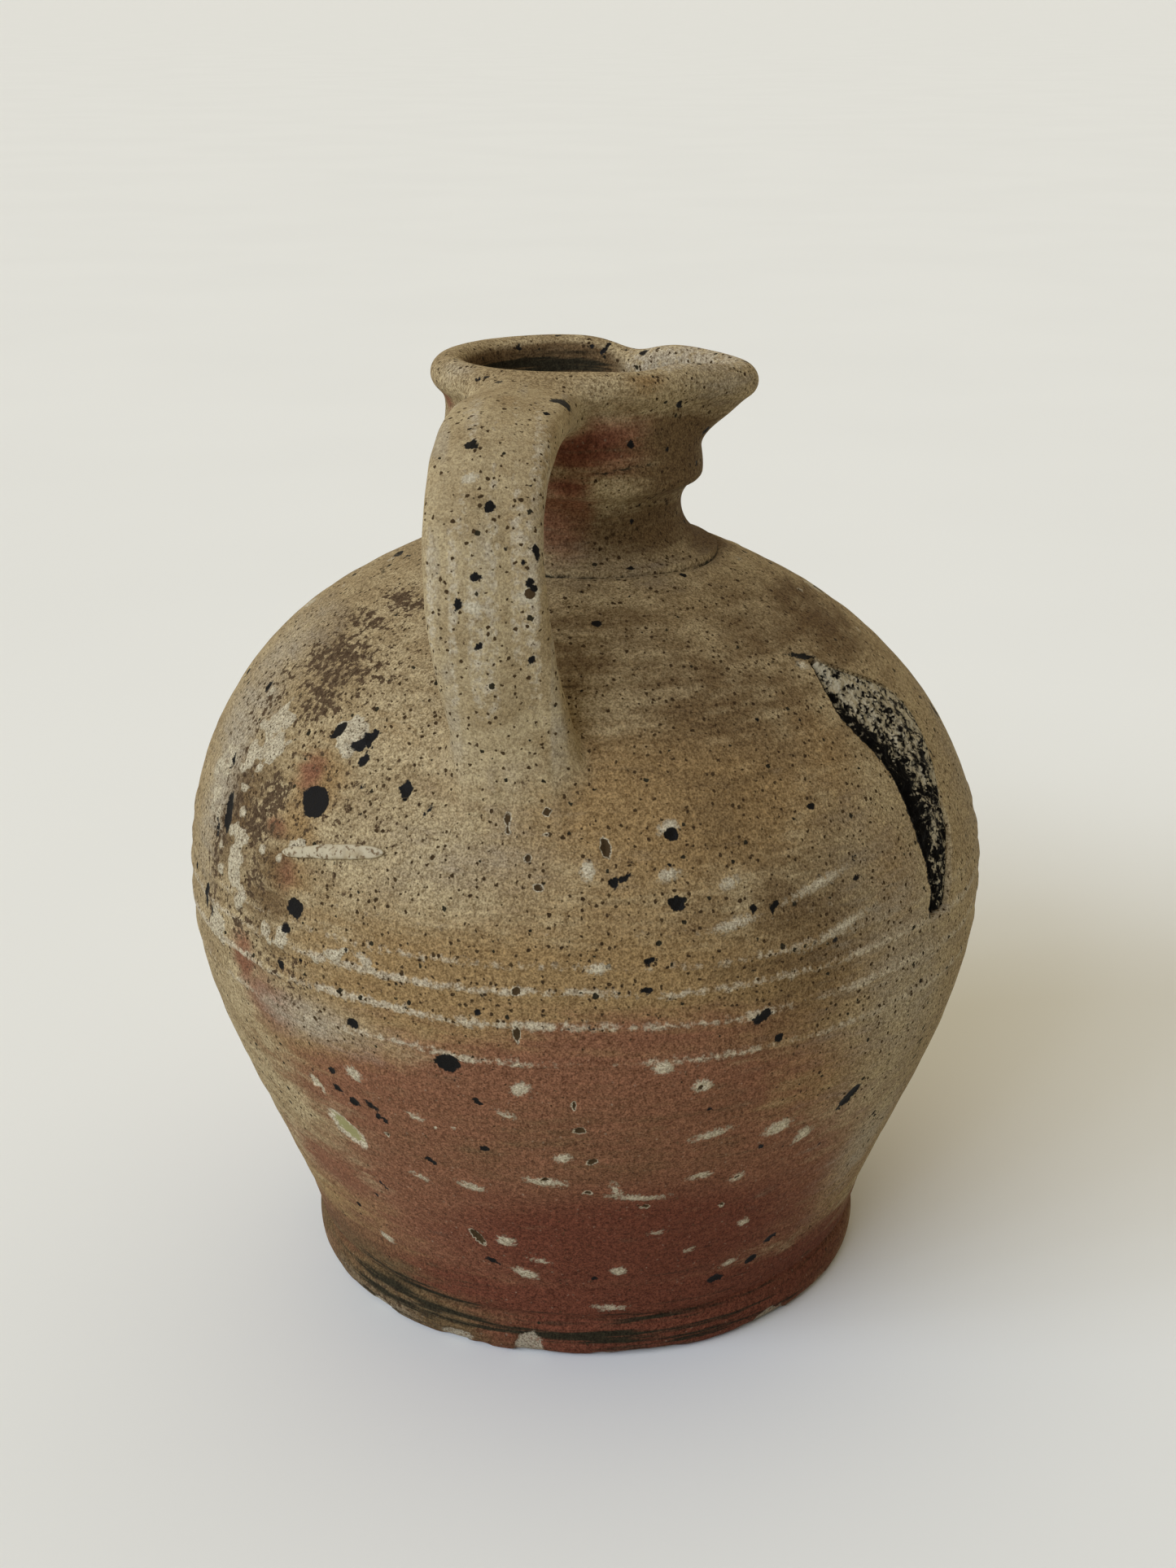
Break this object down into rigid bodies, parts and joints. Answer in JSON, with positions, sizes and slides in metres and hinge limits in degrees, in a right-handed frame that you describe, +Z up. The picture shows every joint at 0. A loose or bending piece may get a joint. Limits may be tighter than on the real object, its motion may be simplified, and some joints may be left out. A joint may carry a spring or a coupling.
{
  "type": "stoneware jug",
  "caption": "Round-bellied wood-fired stoneware jug with a narrow neck, a pulled pouring lip and a strap handle set square to the lip.",
  "frame": {"origin": "middle of the flat underside of the base, where the jug stands", "axes": "+Z up the throwing axis, +X towards the pouring lip, -Y towards the handle"},
  "size_m": [0.1914, 0.1914, 0.223],
  "materials": {
    "buff_stoneware": "matt, unglazed, iron-speckled",
    "flashed_stoneware": "matt, unglazed, flashed red-brown",
    "kiln_slag": "granular black and white slag",
    "pale_clay": "matt pale clay"
  },
  "bodies": {
    "root": {"base_slab": "flashed_stoneware", "lower_wall": "flashed_stoneware", "shoulder_wall": "buff_stoneware", "neck_collar": "buff_stoneware", "pouring_mouth": "buff_stoneware", "strap_handle": "buff_stoneware", "upper_handle_lute": "buff_stoneware", "lower_handle_lute": "buff_stoneware", "kiln_clinker": "kiln_slag", "clay_sliver": "pale_clay"}
  },
  "joints": []
}
